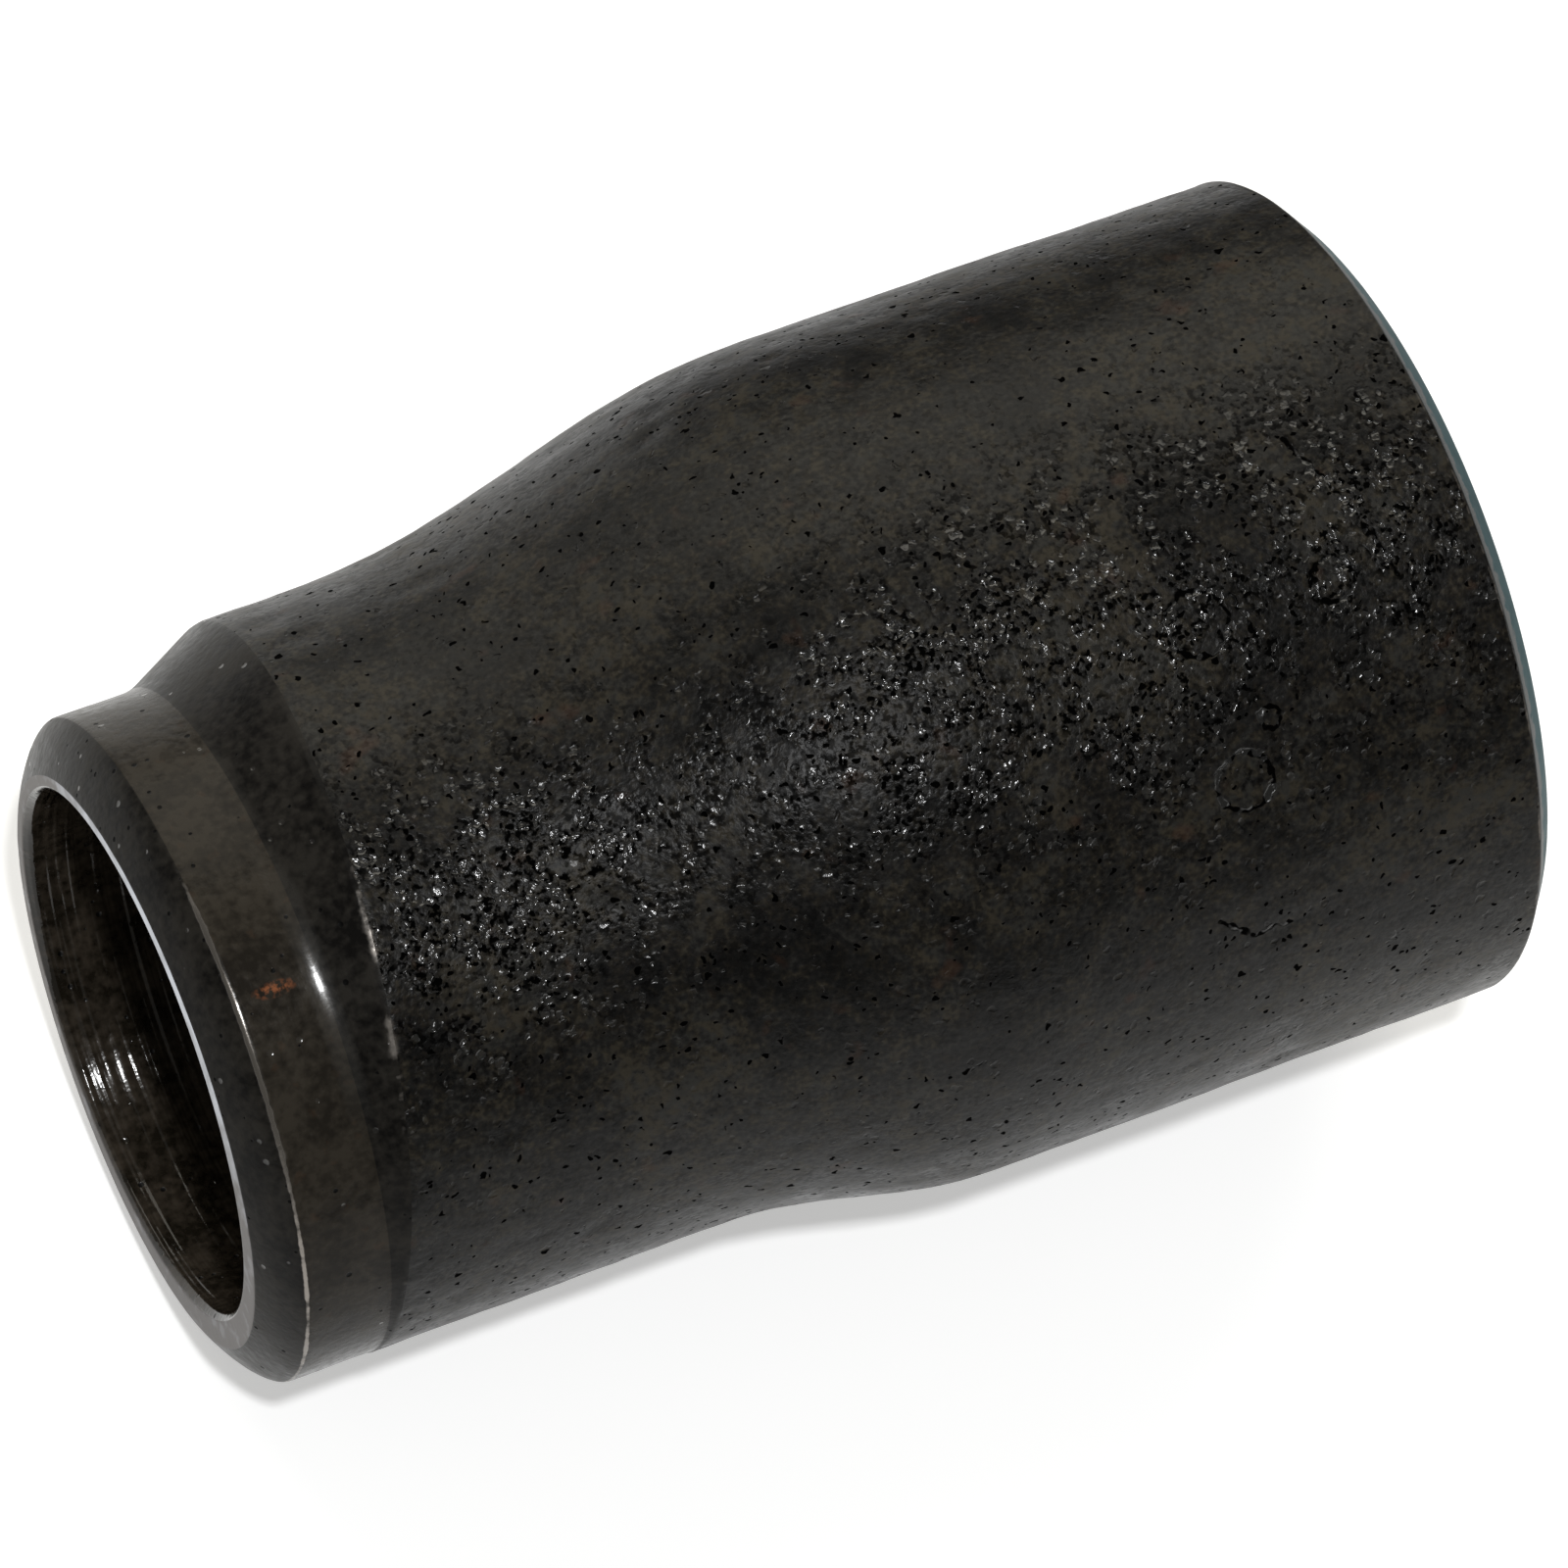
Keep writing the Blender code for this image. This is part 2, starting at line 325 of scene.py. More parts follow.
def reducer_grid(sizes):
    """The whole section as rows of points, and the zone of each row.

    The loop starts inside the small end, comes out of its mouth, goes over land, bevel, spigot and
    shoulder, down the forged skin, round the large end, and back up the inside.
    """
    turn = np.arange(sizes.steps_round) / sizes.steps_round * 2 * math.pi
    way = across(turn)
    large = sizes.large_diameter / 2
    skin = sizes.skin_diameter / 2
    spigot = sizes.spigot_diameter / 2
    bore = spigot - sizes.small_wall
    inner_small = skin - FORGED_WALL_SMALL
    inner_large = large - FORGED_WALL_LARGE
    skin_centre = np.array((large - skin, 0.0))

    # The small end, in radii about the spigot's centre
    to_bore = SPIGOT_CENTRE - SMALL_BORE_CENTRE
    inner_reach = reach(way, SPIGOT_CENTRE - skin_centre, inner_small)
    meeting = np.linalg.norm(way * inner_reach[:, None] + to_bore, axis=-1)
    lead_end = SMALL_BORE_DEPTH + (bore - meeting) / math.tan(BORE_LEAD_ANGLE)
    skin_reach = reach(way, SPIGOT_CENTRE - skin_centre, skin)
    edge_depth = sizes.spigot_length + (skin_reach - spigot) / math.tan(sizes.shoulder_angle)
    land = bore + SMALL_LAND
    bevel_height = (spigot - land) * math.tan(sizes.bevel_angle)
    margin = 0.6 * MM
    corners = [
        (inner_reach, lead_end + margin), (inner_reach, lead_end),
        (reach(way, to_bore, bore), SMALL_BORE_DEPTH),
        (reach(way, to_bore, bore), MOUTH_CHAMFER),
        (reach(way, to_bore, bore + MOUTH_CHAMFER), 0.0),
        (land, 0.0)]
    corners += crowned((land, 0.0), (spigot, bevel_height), SMALL_BEVEL_CROWN, 5)
    corners += [(spigot, bevel_height), (spigot, sizes.spigot_length),
                (skin_reach, edge_depth), (skin_reach, edge_depth + margin)]
    bevel_edge = BEVEL_EDGE + (DRESSED_MORE * on_side(turn, *DRESSED_SIDE)
                               + RUBBED_MORE * on_side(turn, *RUBBED_SIDE))[:, None]
    roundings = [0.0, 0.3 * MM, 0.3 * MM, 0.1 * MM, 0.1 * MM, 0.1 * MM] + [0.2 * MM] * 4
    roundings += [bevel_edge, 0.5 * MM, 0.3 * MM, 0.0]
    splits = (2, 4, 10, 2, 6, 1, 1, 1, 1, 1, 14, 8, 3)
    small_rows, runs = profile_rows(corners, roundings, splits, sizes.steps_round)
    small_end = np.concatenate((SPIGOT_CENTRE + way * small_rows[..., :1], small_rows[..., 1:]), axis=-1)
    names = ["inner_skin", "small_lead", "small_bore", "chamfer", "land", "bevel", "bevel", "bevel",
             "bevel", "bevel", "spigot", "shoulder", "skin"]
    zones = [names[run] for run in runs]

    # The large end, in radii about its own centre
    large_bore = large - sizes.large_wall
    bevel_start = LENGTH - (sizes.large_wall - LARGE_LAND) * math.tan(sizes.bevel_angle)
    bore_end = LENGTH - LARGE_BORE_DEPTH
    large_lead = bore_end - (FORGED_WALL_LARGE - sizes.large_wall) / math.tan(BORE_LEAD_ANGLE)
    corners = [
        (large, bevel_start - margin), (large, bevel_start),
        (large_bore + LARGE_LAND, LENGTH), (large_bore, LENGTH), (large_bore, bore_end),
        (inner_large, large_lead), (inner_large, large_lead - margin)]
    roundings = np.array((0, 0.12, 0.12, 0.12, 0.3, 0.3, 0)) * MM
    large_rows, runs = profile_rows(corners, roundings, (2, 5, 6, 10, 3, 2), sizes.steps_round)
    large_end = np.concatenate((way * large_rows[..., :1], large_rows[..., 1:]), axis=-1)
    names = ["skin", "large_bevel", "large_land", "large_bore", "large_lead", "inner_skin"]
    large_zones = [names[run] for run in runs]

    # The forged surfaces between the two ends, whose turns slide from one centre's to the other's
    def between(first_depth, last_depth, first_way, small_radius, large_radius, rows):
        share = (np.arange(1, rows) / rows)[:, None]
        depth = first_depth + (last_depth - first_depth) * share
        off = np.arctan2(first_way[:, 1], first_way[:, 0]) - turn
        off = (off + math.pi) % (2 * math.pi) - math.pi
        slide = ease(np.clip((depth - first_depth) / TURN_SLIDE, 0.0, 1.0))
        return forged_surface(turn + off * (1.0 - slide), depth, small_radius, large_radius, skin_centre)

    outside = between(
        edge_depth + margin, bevel_start - margin,
        SPIGOT_CENTRE + way * skin_reach[:, None] - skin_centre, skin, large, SKIN_ROWS)
    inside = between(
        lead_end + margin, large_lead - margin,
        SPIGOT_CENTRE + way * inner_reach[:, None] - skin_centre, inner_small, inner_large, INNER_ROWS)
    rows = np.concatenate((small_end, outside, large_end, inside[::-1]))
    zones = zones + ["skin"] * len(outside) + large_zones + ["inner_skin"] * len(inside)
    return rows, zones


def laid_down(rows):
    """Places rows of (drop, side, depth) in the part's frame: small face at +X, straight side down."""
    return np.stack((CAD_HIGH.x - rows[..., 2], rows[..., 1], AXIS_HEIGHT - rows[..., 0]), axis=-1)


def grid_normals(points):
    """Unit normals of a grid that closes on itself both ways: the cross product of its two slopes."""
    down = np.roll(points, -1, axis=0) - np.roll(points, 1, axis=0)
    round_ = np.roll(points, -1, axis=1) - np.roll(points, 1, axis=1)
    normal = np.cross(down, round_)
    return normal / np.linalg.norm(normal, axis=-1, keepdims=True)


def waves(points, length, seed, count=30):
    """Smooth noise about 0, of unit spread: a sum of cosine waves in random directions."""
    draw = np.random.default_rng(seed)
    direction = draw.normal(size=(count, 3))
    direction /= np.linalg.norm(direction, axis=1, keepdims=True)
    rate = direction * (2 * math.pi / length * draw.uniform(0.7, 1.4, (count, 1)))
    phase = draw.uniform(0, 2 * math.pi, count)
    return np.cos(points @ rate.T + phase).sum(-1) * math.sqrt(2 / count)


def pits(points, places, radii, depths):
    """The sum of round hollows, each deep at its place and fading out as exp(-(distance / radius)^4)."""
    hollow = np.zeros(points.shape[:-1])
    for place, radius, depth in zip(places, radii, depths):
        distance = ((points - place) ** 2).sum(-1) / radius ** 2
        hollow += depth * np.exp(-distance ** 2)
    return hollow


def forging_relief(points, zones, finish):
    """How far the forging lies below its perfect form, never above it."""
    zone = np.array(zones)
    skin = (zone == "skin")[:, None] * 1.0
    ends = np.isin(zone, ("spigot", "shoulder", "bevel", "large_bevel"))[:, None] * 1.0
    slow = waves(points, 11.0 * MM, 11) + 0.5 * waves(points, 5.0 * MM, 12)
    quick = waves(points, 2.2 * MM, 13) + 0.7 * waves(points, 1.2 * MM, 14)
    relief = skin * (finish.waviness * (0.5 + 0.25 * slow) + SKIN_RIPPLE * quick)
    relief += ends * TURNED_RIPPLE * (1.0 + quick)

    draw = np.random.default_rng(21)
    field = points[zone == "skin"].reshape(-1, 3)
    places = field[draw.choice(len(field), PIT_COUNT, replace=False)]
    radii = draw.uniform(*PIT_RADII, PIT_COUNT) * MM
    depths = finish.pit_depth * draw.uniform(0.25, 1.0, PIT_COUNT) ** 2
    relief += skin * pits(points, places, radii, depths)
    return np.maximum(relief, 0.0)


def along_edges(zones, strengths, spread):
    """A value per row: a strength at each edge between two zones, times the spread over the rows by it."""
    values = np.zeros(len(zones))
    for row in range(len(zones) - 2):
        strength = strengths.get((zones[row], zones[row + 1]), 0.0)
        if strength:
            values[row - 1:row + 3] = np.array(spread) * strength
    return values


def edge_wear(zones, steps_round):
    """How worn each point is: a little on all outer edges, and more on the side where they are rubbed."""
    all_round = {("bevel", "spigot"): 0.65, ("shoulder", "skin"): 0.1, ("skin", "large_bevel"): 0.4}
    one_side = {("shoulder", "skin"): 0.22, ("bevel", "spigot"): 0.3}
    turn = np.arange(steps_round) / steps_round * 2 * math.pi
    worn = along_edges(zones, all_round, (0.25, 1.0, 1.0, 0.25))[:, None]
    knocked = along_edges(zones, one_side, (0.4, 1.0, 1.0, 0.4))[:, None]
    return (worn * (1.0 - on_side(turn, *DRESSED_SIDE)) + knocked * on_side(turn, *RUBBED_SIDE)).ravel()


def burnish(zones, steps_round):
    """How smooth each point is rubbed: the root of the shoulder and the edge of the bevel."""
    edges = {("spigot", "shoulder"): 1.0, ("bevel", "spigot"): 1.0}
    turn = np.arange(steps_round) / steps_round * 2 * math.pi
    rubbed = along_edges(zones, edges, (0.8, 1.0, 1.0, 0.8))[:, None]
    return (rubbed * on_side(turn, *RUBBED_SIDE)).ravel()


def pitting(points, normals, zones):
    """How pitted the skin is, from 0 to 1.

    It is the sum of a low level everywhere, a band that faces PITTED_WAY, and clusters in the band that
    fade out as exp(-(distance / radius)^2).
    """
    facing = normals @ np.array(PITTED_WAY)
    band = ease(np.clip((facing - math.cos(PITTED_HALF_ANGLE)) / PITTED_FADE, 0.0, 1.0))
    level = PLAIN_LEVEL + BAND_LEVEL * band
    for turn, depth, radius in PITTED_CLUSTERS:
        gap = ((points - np.array(skin_point(turn, depth))) ** 2).sum(-1) / (radius * MM) ** 2
        level = level + CLUSTER_LEVEL * np.exp(-gap)
    skin = (np.array(zones) == "skin")[:, None]
    return (np.minimum(level, 1.0) * skin).ravel()


def grid_mesh(name, points, face_slots, attributes):
    """A mesh from a grid that closes both ways, with a material slot per row and point attributes."""
    rows, steps = points.shape[:2]
    row, step = np.mgrid[0:rows, 0:steps]
    after_row, after_step = (row + 1) % rows, (step + 1) % steps
    faces = np.stack((row * steps + step, after_row * steps + step,
                      after_row * steps + after_step, row * steps + after_step), axis=-1).reshape(-1, 4)
    mesh = bpy.data.meshes.new(name)
    mesh.from_pydata(points.reshape(-1, 3), [], faces)
    mesh.polygons.foreach_set("use_smooth", np.ones(len(faces), bool))
    mesh.polygons.foreach_set("material_index", np.repeat(face_slots, steps).astype(np.int32))
    for key, values in attributes.items():
        attribute = mesh.attributes.new(key, "FLOAT", "POINT")
        attribute.data.foreach_set("value", values.astype(np.float32))
    mesh.validate()
    mesh.update()
    return mesh


def new_material(name):
    """An empty material with its tree and shader."""
    material = bpy.data.materials.new(name)
    material.use_nodes = True
    return material, material.node_tree, material.node_tree.nodes["Principled BSDF"]


def drive(tree, shader, sockets):
    """Links sockets to the shader's inputs of the given names."""
    for name, socket in sockets.items():
        tree.links.new(socket, shader.inputs[name])


def weighted(tree, *terms):
    """A sum of sockets, each times its weight."""
    parts = [add(tree, "Math", socket, weight, operation="MULTIPLY") for weight, socket in terms]
    total = parts[0]
    for part in parts[1:]:
        total = add(tree, "Math", part, total, operation="ADD")
    return total


def random_cells(tree, place, cell):
    """Cells of a width: the distance to the cell's middle in cells, and two random numbers of the cell."""
    distance = add(tree, "TexVoronoi", place, 1 / cell)
    draw = add(tree, "SeparateColor", distance.node.outputs["Color"]).node.outputs
    return distance, draw[1], draw[0]


def bowl(tree, distance, radius):
    """1 in the middle and 0 from the radius on: 1 - (distance / radius)^2."""
    ratio = add(tree, "Math", distance, radius, operation="DIVIDE")
    square = add(tree, "Math", ratio, ratio, operation="MULTIPLY")
    return add(tree, "Math", 1.0, square, operation="SUBTRACT", use_clamp=True)


def hollows(tree, cells, small, large, holds):
    """Bowls of a random radius between the two given ones, in cells. holds is 1 where a cell has one."""
    radius = add(tree, "MapRange", cells[1], 0.0, 1.0, small, large)
    return add(tree, "Math", bowl(tree, cells[0], radius), holds, operation="MULTIPLY")


def worn_edges(tree, place):
    """The share of bare metal on knocked edges: the wear attribute, broken up by noise where it is low."""
    wear = add(tree, "Attribute", attribute_name="wear", out="Fac")
    coarse = add(tree, "TexNoise", place, 1 / (2.2 * MM), 1.0)
    fine = add(tree, "TexNoise", place, 1 / (0.5 * MM), 2.0)
    broken = weighted(tree, (0.5, coarse), (0.5, fine), (0.45, wear))
    share = add(tree, "MapRange", broken, 0.66, 0.80, 0.0, 1.0)
    near = add(tree, "Math", wear, 2.0, operation="MULTIPLY", use_clamp=True)
    return add(tree, "Math", share, near, operation="MULTIPLY")


def warped(tree, place, size, amount):
    """The coordinates shifted this way and that by noise, so that round forms turn out uneven."""
    shift = add(tree, "TexNoise", place, 1 / size, 0.0, out="Color")
    shift = add(tree, "VectorMath", shift, (0.5, 0.5, 0.5), operation="SUBTRACT")
    shift = add(tree, "VectorMath", shift, amount, operation="SCALE")
    return add(tree, "VectorMath", place, shift, operation="ADD")


def skin_point(turn, depth):
    """A place on the forged skin, from a turn in degrees and a depth from the small face in mm."""
    sizes = bpy.context.scene.reducer_sizes
    large, small = sizes.large_diameter / 2, sizes.skin_diameter / 2
    flat = forged_surface(np.array([math.radians(turn)]), np.array([depth * MM]), small, large,
                          np.array((large - small, 0.0)))
    return Vector(laid_down(flat)[0])


def off_ring(tree, place, turn, depth, radius):
    """How far a point is from a ring about a place on the skin: |distance - radius|."""
    away = add(tree, "VectorMath", place, skin_point(turn, depth), operation="DISTANCE")
    off = add(tree, "Math", away, radius * MM, operation="SUBTRACT")
    return add(tree, "Math", off, operation="ABSOLUTE")


def off_bar(tree, place, start, end):
    """How far a point is from the straight line between two places on the skin."""
    first, last = skin_point(*start), skin_point(*end)
    run = last - first
    away = add(tree, "VectorMath", place, first, operation="SUBTRACT")
    share = add(tree, "VectorMath", away, run / run.length_squared, operation="DOT_PRODUCT")
    along = add(tree, "VectorMath", run, add(tree, "Clamp", share), operation="SCALE")
    return add(tree, "VectorMath", away, along, operation="DISTANCE")


def punch_marks(tree, place):
    """Plain rings and bars, as a punch leaves them: bowls across the nearest of their lines."""
    offs = [off_ring(tree, place, *ring) for ring in MARK_RINGS]
    offs += [off_bar(tree, place, *bar) for bar in MARK_BARS]
    nearest = offs[0]
    for off in offs[1:]:
        nearest = add(tree, "Math", nearest, off, operation="MINIMUM")
    return bowl(tree, nearest, MARK_HALF_WIDTH)


def scaled_forging(finish):
    """Carbon steel, hot forged and dipped in thin black varnish.

    Mill scale under the varnish gives a dull brown-black with soft patches. Where scale has popped off
    it leaves pits a few tenths of a millimetre wide, whose varnished hollows glint, and pinholes that
    are painted black as shade. One side is rougher than the other, as it lay in the die. The punch
    marks there are lines painted dark as shade in their grooves, that glint in places. Heights are in mm,
    and black is the share of painted shade, which also darkens the low grit of the pitted side.
    """
    material, tree, shader = new_material("varnished_forging_scale")
    place = add(tree, "TexCoord", out="Object")
    patches = add(tree, "TexNoise", place, 1 / (5 * MM), 2.0)
    mottle = add(tree, "TexNoise", place, 1 / (1.3 * MM), 2.0)
    hue = add(tree, "TexNoise", place, 1 / (0.55 * MM), 1.0)
    grit = add(tree, "TexNoise", place, 1 / (0.26 * MM), 2.0)
    grain = add(tree, "TexNoise", place, 1 / (0.22 * MM), 1.0)
    clumps = add(tree, "MapRange", mottle, 0.58, 0.44, 0.3, 1.0)
    level = add(tree, "Attribute", attribute_name="pitting", out="Fac")
    pitted = add(tree, "Math", level, clumps, operation="MULTIPLY")

    # Pits 0.2 to 0.45 mm wide, pinholes half as wide, the marks, and rubble that is deeper where pitted
    uneven = warped(tree, place, 0.3 * MM, 0.34 * MM)
    cells = random_cells(tree, uneven, 0.3 * MM)
    chance = add(tree, "Math", pitted, 0.62, operation="MULTIPLY")
    small_pits = hollows(tree, cells, 0.37, 0.75, add(tree, "Math", cells[2], chance, operation="LESS_THAN"))
    chance = add(tree, "MapRange", pitted, 0.0, 1.0, 0.93, 0.6)
    pinholes = hollows(tree, cells, 0.2, 0.5, add(tree, "Math", cells[2], chance, operation="GREATER_THAN"))
    marks = punch_marks(tree, uneven)
    rubble = add(tree, "MapRange", pitted, 0.0, 1.0, 0.012, 0.11)
    rubble = add(tree, "Math", grit, rubble, operation="MULTIPLY")
    height = weighted(tree, (-0.032, small_pits), (-0.06, pinholes), (0.06, mottle), (-0.045, marks),
                      (1.0, rubble))
    bump = add(tree, "Bump", inputs={"Height": height, "Distance": MM})

    # Brown scale that goes over to neutral black, with a little old rust
    shade = weighted(tree, (0.38, patches), (0.27, mottle), (0.35, grain))
    warm = add(tree, "ValToRGB", shade, stops=(
        (0.41, linear("060504")), (0.5, linear("16130E")), (0.59, finish.scale_colour)))
    cool = add(tree, "ValToRGB", shade, stops=(
        (0.41, linear("040404")), (0.5, linear("121110")), (0.59, linear("23221F"))))
    coolness = add(tree, "MapRange", hue, 0.42, 0.58, 0.0, 1.0)
    tone = add(tree, "Mix", coolness, warm, cool, data_type="RGBA")
    rust = add(tree, "TexNoise", place, 1 / (1.6 * MM), 2.0)
    rust = add(tree, "MapRange", rust, 0.66, 0.76, 0.0, 0.3)
    tone = add(tree, "Mix", rust, tone, linear("3E281A"), data_type="RGBA")

    # Painted shade: black in the low grit of the pitted side, in the pinholes and in the marks
    low = add(tree, "MapRange", grit, 0.40, 0.50, 1.0, 0.0)
    rough_side = add(tree, "Math", pitted, 1.5, operation="MULTIPLY", use_clamp=True)
    black = add(tree, "Math", low, rough_side, operation="MULTIPLY")
    for hollow, strength in ((pinholes, 2.5), (marks, 1.5)):
        dark = add(tree, "Math", hollow, strength, operation="MULTIPLY", use_clamp=True)
        black = add(tree, "Math", dark, black, operation="MAXIMUM")
    tone = add(tree, "Mix", black, tone, linear("020202"), data_type="RGBA")
    edges = worn_edges(tree, place)
    tone = add(tree, "Mix", edges, tone, linear("6A6560"), data_type="RGBA")

    # Varnish stands glossy in the pits and here and there in the marks, and is thin and matt elsewhere
    in_pits = add(tree, "Math", small_pits, 3.0, operation="MULTIPLY", use_clamp=True)
    in_pits = add(tree, "Math", in_pits, add(tree, "MapRange", pitted, 0.14, 0.5, 0.0, 1.0),
                  operation="MULTIPLY")
    in_marks = add(tree, "MapRange", hue, 0.50, 0.58, 0.0, 1.5)
    in_marks = add(tree, "Math", marks, in_marks, operation="MULTIPLY", use_clamp=True)
    glaze = add(tree, "Math", in_pits, in_marks, operation="MAXIMUM")
    rough = weighted(tree, (0.25, patches), (0.3, mottle), (0.35, black), (0.1, pitted))
    rough = add(tree, "Mix", glaze, add(tree, "Math", rough, 0.1, operation="ADD"), 0.23)
    # The painted shade also lowers the varnish's IOR, so that the black places mirror less
    film = add(tree, "Mix", glaze, add(tree, "MapRange", black, 0.0, 1.0, 1.25, 1.05), 1.6)
    drive(tree, shader, {"Base Color": tone, "Metallic": edges, "Roughness": rough, "Normal": bump,
                         "IOR": film})
    return material


def turned_steel(finish, name, dark, light, ring_pitch, ring_depth, rust=0.0, gloss=0.0, film=1.25):
    """Carbon steel turned on a lathe and blackened by the same varnish.

    The tool leaves fine rings round the axis, a fraction of a millimetre apart, under a smooth film
    that is a little lighter and browner than the forged skin. Pinholes are painted black as shade, some
    specks glint, and rubbed places are smooth. ring_depth is in mm, rust is the share of old rust in its
    spots, gloss is taken from the roughness, and film is how strongly the varnish mirrors, as an IOR.
    """
    material, tree, shader = new_material(name)
    place = add(tree, "TexCoord", out="Object")
    grain = add(tree, "TexNoise", place, 1 / (0.36 * MM), 2.0)
    patches = add(tree, "TexNoise", place, 1 / (2.5 * MM), 3.0)
    drawn_out = add(tree, "Mapping", place, inputs={"Scale": (1.0, 0.03, 0.03)})
    rings = add(tree, "TexNoise", drawn_out, 1 / ring_pitch, 1.0)
    cells = random_cells(tree, place, 0.6 * MM)
    pinholes = hollows(tree, cells, 0.1, 0.23, add(tree, "Math", cells[2], 0.3, operation="LESS_THAN"))
    specks = hollows(tree, cells, 0.14, 0.26, add(tree, "Math", cells[2], 0.88, operation="GREATER_THAN"))
    rubbed = add(tree, "Attribute", attribute_name="burnish", out="Fac")
    height = weighted(tree, (ring_depth, rings), (0.018, grain), (0.02, patches), (-0.03, pinholes),
                      (-0.02, specks))
    bump = add(tree, "Bump", inputs={"Height": height, "Distance": MM,
                                     "Strength": add(tree, "MapRange", rubbed, 0.0, 1.0, 1.0, 0.25)})

    shade = weighted(tree, (0.55, patches), (0.45, grain))
    tone = add(tree, "ValToRGB", shade, stops=((0.4, dark), (0.6, light)))
    if rust:
        spots = add(tree, "TexNoise", place, 1 / (0.7 * MM), 4.0)
        spots = add(tree, "MapRange", spots, 0.62, 0.72, 0.0, rust)
        tone = add(tree, "Mix", spots, tone, linear("46301F"), data_type="RGBA")
        away = add(tree, "VectorMath", place, RUST_FRECKLE, operation="SUBTRACT")
        away = add(tree, "VectorMath", away, (0.35, 1.0, 1.0), operation="MULTIPLY")
        away = add(tree, "VectorMath", away, operation="LENGTH")
        near = add(tree, "MapRange", away, *FRECKLE_RADII, 1.0, 0.0)
        flecks = add(tree, "TexNoise", place, 1 / (0.22 * MM), 3.0)
        flecks = add(tree, "MapRange", flecks, 0.45, 0.62, 0.0, 1.0)
        freckle = add(tree, "Math", near, flecks, operation="MULTIPLY")
        tone = add(tree, "Mix", freckle, tone, finish.rust_colour, data_type="RGBA")
    # Painted shade: the pinholes are coloured black
    black = add(tree, "Math", pinholes, 2.5, operation="MULTIPLY", use_clamp=True)
    tone = add(tree, "Mix", black, tone, linear("020202"), data_type="RGBA")
    edges = worn_edges(tree, place)
    tone = add(tree, "Mix", edges, tone, linear("837E79"), data_type="RGBA")

    glints = add(tree, "Math", specks, 2.0, operation="MULTIPLY", use_clamp=True)
    burnished = add(tree, "Math", rubbed, glints, operation="MAXIMUM")
    rough = weighted(tree, (0.25, grain), (0.25, patches), (0.3, black))
    rough = add(tree, "Math", rough, gloss, operation="SUBTRACT")
    rough = add(tree, "Mix", burnished, rough, 0.16)
    drive(tree, shader, {"Base Color": tone, "Metallic": edges, "Roughness": rough, "Normal": bump,
                         "IOR": add(tree, "MapRange", burnished, 0.0, 1.0, film, 1.5)})
    return material


def ground_steel(name, lower_tone, clean, varnish_edge=None):
    """Bare carbon steel, ground flat at the weld lands and cut at the large bevel.

    Clean metal, so it mirrors the pale studio as a thin bluish-white line. Its colour goes darker towards
    the bottom, broken up by spots. Above varnish_edge along the pipe, the skin's varnish has run over it
    with a ragged edge, and the metal beside it is tinted blue-green by what is left of the film.
    """
    material, tree, shader = new_material(name)
    place = add(tree, "TexCoord", out="Object")
    along = add(tree, "SeparateXYZ", place).node.outputs
    oxide = add(tree, "TexNoise", place, 1 / (0.9 * MM), 4.0)
    spots = add(tree, "MapRange", oxide, 0.35, 0.65, 0.0, 0.45)
    # Darker towards the bottom and lighter higher up, broken up by spots
    share = add(tree, "MapRange", along["Z"], *DARK_TO_LIGHT_HEIGHTS, -0.3, 0.7)
    share = add(tree, "Math", share, spots, operation="ADD", use_clamp=True)
    tone = add(tree, "Mix", share, lower_tone, clean, data_type="RGBA")
    shader.inputs["Metallic"].default_value = 1.0
    if varnish_edge is not None:
        ragged = add(tree, "TexNoise", place, 1 / (0.45 * MM), 2.0)
        ragged = weighted(tree, (1.0, along["X"]), (0.7 * MM, ragged))
        over = add(tree, "MapRange", ragged, varnish_edge + 0.2 * MM, varnish_edge + 0.3 * MM, 0.0, 1.0)
        tone = add(tree, "Mix", over, tone, linear("0A0A09"), data_type="RGBA")
        drive(tree, shader, {"Metallic": add(tree, "Math", 1.0, over, operation="SUBTRACT")})
        shader.inputs["Specular Tint"].default_value = linear("D8E5E7")
    shader.inputs["Roughness"].default_value = 0.45
    bump = add(tree, "Bump", inputs={"Height": oxide, "Distance": 0.015 * MM})
    drive(tree, shader, {"Base Color": tone, "Normal": bump})
    return material


